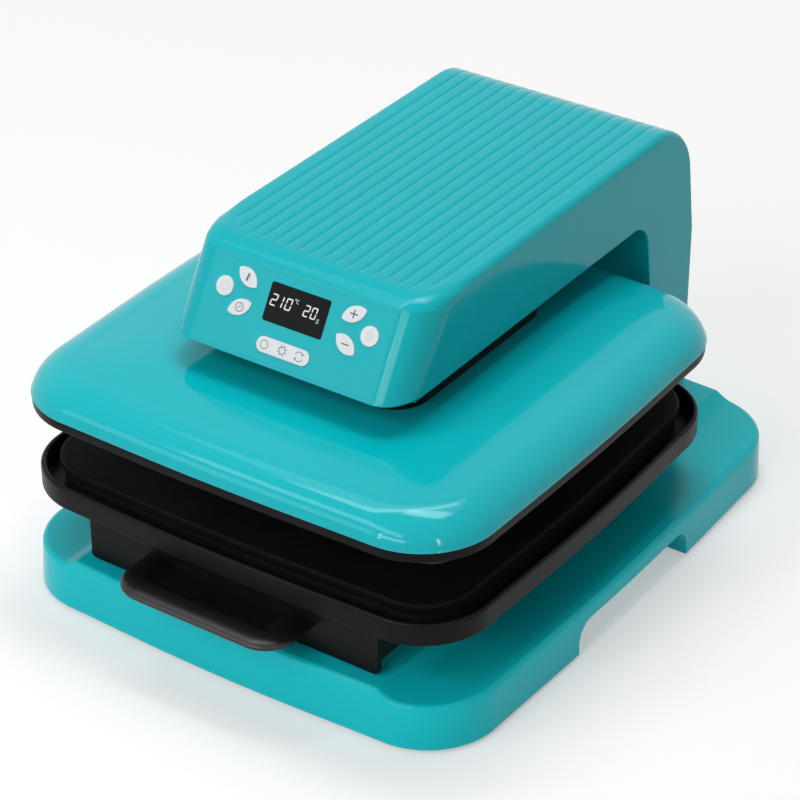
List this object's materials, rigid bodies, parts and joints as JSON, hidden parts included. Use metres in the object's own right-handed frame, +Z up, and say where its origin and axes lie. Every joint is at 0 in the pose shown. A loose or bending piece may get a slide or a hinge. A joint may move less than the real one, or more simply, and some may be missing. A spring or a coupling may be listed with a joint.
{
  "type": "automatic heat press",
  "caption": "Desktop heat press: a motor lowers a heated platen on to a padded drawer, with a keypad and display on the arm.",
  "frame": {"origin": "centre of the overall outline on the surface that the feet stand on", "axes": "+Z up, +Y from the drawer's front towards the column, +X to the right of a person facing the panel"},
  "size_m": [0.4324, 0.5598, 0.3045],
  "materials": {
    "teal_plastic": "gloss",
    "black_plastic": "satin",
    "black_metal": "satin",
    "black_rubber": "matte",
    "pad_rubber": "matte",
    "fibre_board": "matte",
    "steel": "satin",
    "zinc_steel": "satin",
    "motor_metal": "satin",
    "plate_aluminium": "satin",
    "brass": "satin",
    "circuit_board": "satin",
    "black_window": "gloss",
    "display_body": "satin",
    "key_white": "satin"
  },
  "bodies": {
    "frame": {"base_shell": "teal_plastic", "base_bottom_plate": "black_plastic", "foot_front_left": "black_rubber", "foot_front_right": "black_rubber", "foot_rear_left": "black_rubber", "foot_rear_right": "black_rubber", "steel_frame": "steel", "arm_housing": "teal_plastic", "rear_cover": "teal_plastic", "arm_undercover": "black_plastic", "control_panel": "teal_plastic", "display_window": "black_window", "display_module": "display_body", "control_board": "circuit_board", "power_board": "circuit_board", "power_inlet": "black_plastic", "switch_housing": "black_plastic", "drive_motor": "motor_metal", "drive_belt": "black_rubber", "screw_bearing": "zinc_steel", "guide_rod_left": "zinc_steel", "guide_rod_right": "zinc_steel", "limit_switch": "black_plastic", "rail_fixed_left": "zinc_steel", "rail_fixed_right": "zinc_steel"},
    "drawer": {"tray_body": "black_plastic", "pad_board": "fibre_board", "work_pad": "pad_rubber", "drawer_box": "black_metal", "drawer_front": "black_plastic", "drawer_handle": "black_plastic", "rail_moving_left": "zinc_steel", "rail_moving_right": "zinc_steel"},
    "platen": {"platen_cover": "teal_plastic", "platen_bezel": "black_plastic", "heating_plate": "plate_aluminium", "heating_element": "steel", "insulation_board": "fibre_board", "platen_frame": "steel", "temperature_sensor": "steel", "thermal_fuse": "fibre_board", "neck_shroud": "black_plastic", "lift_carriage": "steel", "drive_nut": "brass", "bush_left": "brass", "bush_right": "brass"},
    "screw": {"lead_screw": "zinc_steel", "screw_pulley": "zinc_steel"},
    "motor_pulley": {"motor_pulley": "zinc_steel"},
    "power_key": {"power_key": "key_white"},
    "start_key": {"start_key": "key_white"},
    "temperature_key": {"temperature_key": "key_white"},
    "time_key": {"time_key": "key_white"},
    "plus_key": {"plus_key": "key_white"},
    "minus_key": {"minus_key": "key_white"},
    "mode_key": {"mode_key": "key_white"},
    "rocker": {"power_rocker": "black_plastic"}
  },
  "joints": [
    {"name": "drawer_slide", "type": "slide", "parent": "frame", "child": "drawer", "axis": [0, -1, 0], "range_m": [0, 0.26]},
    {"name": "platen_lift", "type": "slide", "parent": "frame", "child": "platen", "axis": [0, 0, -1], "range_m": [0, 0.0416]},
    {"name": "screw_turn", "type": "hinge", "parent": "frame", "child": "screw", "pos_m": [0, -0.03635, 0.25], "axis": [0, 0, 1], "range_deg": [0, 1500]},
    {"name": "motor_pulley_turn", "type": "hinge", "parent": "frame", "child": "motor_pulley", "pos_m": [0, 0.12595, 0.29], "axis": [0, 0, 1], "range_deg": [0, 3000]},
    {"name": "power_key_press", "type": "slide", "parent": "frame", "child": "power_key", "axis": [0, 0.8581, -0.5135], "range_m": [0, 0.0008], "stiffness_N_per_m": 1500, "springref_m": -0.0003},
    {"name": "start_key_press", "type": "slide", "parent": "frame", "child": "start_key", "axis": [0, 0.8581, -0.5135], "range_m": [0, 0.0008], "stiffness_N_per_m": 1500, "springref_m": -0.0003},
    {"name": "temperature_key_press", "type": "slide", "parent": "frame", "child": "temperature_key", "axis": [0, 0.8581, -0.5135], "range_m": [0, 0.0008], "stiffness_N_per_m": 1500, "springref_m": -0.0003},
    {"name": "time_key_press", "type": "slide", "parent": "frame", "child": "time_key", "axis": [0, 0.8581, -0.5135], "range_m": [0, 0.0008], "stiffness_N_per_m": 1500, "springref_m": -0.0003},
    {"name": "plus_key_press", "type": "slide", "parent": "frame", "child": "plus_key", "axis": [0, 0.8581, -0.5135], "range_m": [0, 0.0008], "stiffness_N_per_m": 1500, "springref_m": -0.0003},
    {"name": "minus_key_press", "type": "slide", "parent": "frame", "child": "minus_key", "axis": [0, 0.8581, -0.5135], "range_m": [0, 0.0008], "stiffness_N_per_m": 1500, "springref_m": -0.0003},
    {"name": "mode_key_press", "type": "slide", "parent": "frame", "child": "mode_key", "axis": [0, 0.8581, -0.5135], "range_m": [0, 0.0008], "stiffness_N_per_m": 1500, "springref_m": -0.0003},
    {"name": "rocker_tip", "type": "hinge", "parent": "frame", "child": "rocker", "pos_m": [0.03, 0.27505, 0.089], "axis": [-1, 0, 0], "range_deg": [0, 18]}
  ],
  "couplings": [
    {"joint": "screw_turn", "follows": "platen_lift", "rad_per_m": 628.32},
    {"joint": "motor_pulley_turn", "follows": "platen_lift", "rad_per_m": 1256.6}
  ]
}
